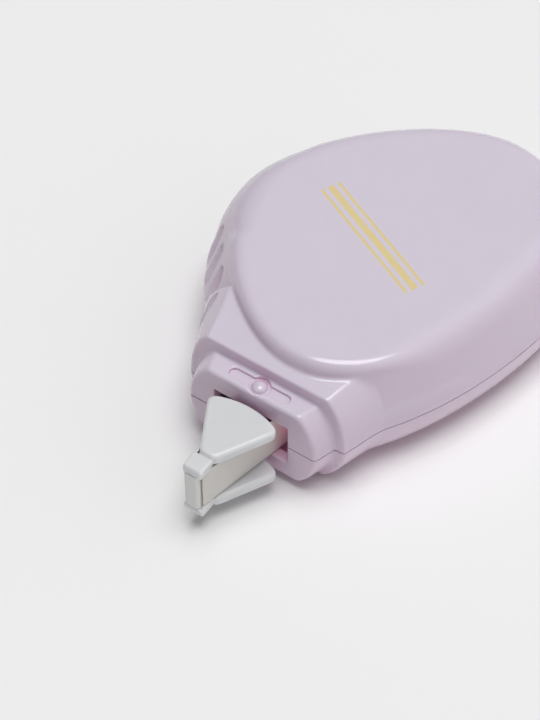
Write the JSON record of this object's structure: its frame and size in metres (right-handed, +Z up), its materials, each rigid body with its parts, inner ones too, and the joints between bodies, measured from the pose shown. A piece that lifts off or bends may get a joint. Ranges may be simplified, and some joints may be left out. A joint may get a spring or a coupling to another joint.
{
  "type": "correction tape",
  "caption": "Pocket correction tape: flat egg-shaped case with a stepped nozzle, a white fan-shaped press head and geared reels that feed the film and wind up the spent carrier.",
  "frame": {"origin": "centre of the bounding box on the table plane, under the flat underside", "axes": "+X from the press tip to the rear of the case, +Y to the fluted grip side, +Z up through the dome"},
  "size_m": [0.0528, 0.0348, 0.0149],
  "materials": {
    "lilac_case": "glossy moulded ABS, pale lilac",
    "white_head": "satin moulded POM, white",
    "coated_film": "matte white correction film on its carrier",
    "bare_carrier": "matte greige release paper",
    "grey_gear": "satin moulded POM, grey",
    "natural_reel": "satin moulded polystyrene, natural",
    "clutch_rubber": "matte nitrile rubber"
  },
  "bodies": {
    "case": {"upper_case": "lilac_case", "lower_case": "lilac_case", "tip_head": "white_head", "film_run": "coated_film", "liner_run": "bare_carrier"},
    "supply_drive": {"supply_gear": "grey_gear", "supply_cap": "natural_reel", "clutch_ring": "clutch_rubber"},
    "full_reel": {"supply_reel": "natural_reel", "supply_tape_roll": "coated_film"},
    "take_up_spool": {"take_up_gear": "grey_gear", "take_up_flange": "natural_reel", "take_up_roll": "bare_carrier"}
  },
  "joints": [
    {"name": "supply_drive_spin", "type": "hinge", "parent": "case", "child": "supply_drive", "pos_m": [0.00907, -0.00195, 0.006], "axis": [0, 0, 1], "continuous": true},
    {"name": "clutch_slip", "type": "hinge", "parent": "supply_drive", "child": "full_reel", "pos_m": [0.00907, -0.00195, 0.006], "axis": [0, 0, 1], "continuous": true},
    {"name": "take_up_spin", "type": "hinge", "parent": "case", "child": "take_up_spool", "pos_m": [-0.00495, -0.00048, 0.006], "axis": [0, 0, 1], "continuous": true}
  ],
  "couplings": [
    {"joint": "take_up_spin", "follows": "supply_drive_spin", "ratio": -3}
  ]
}
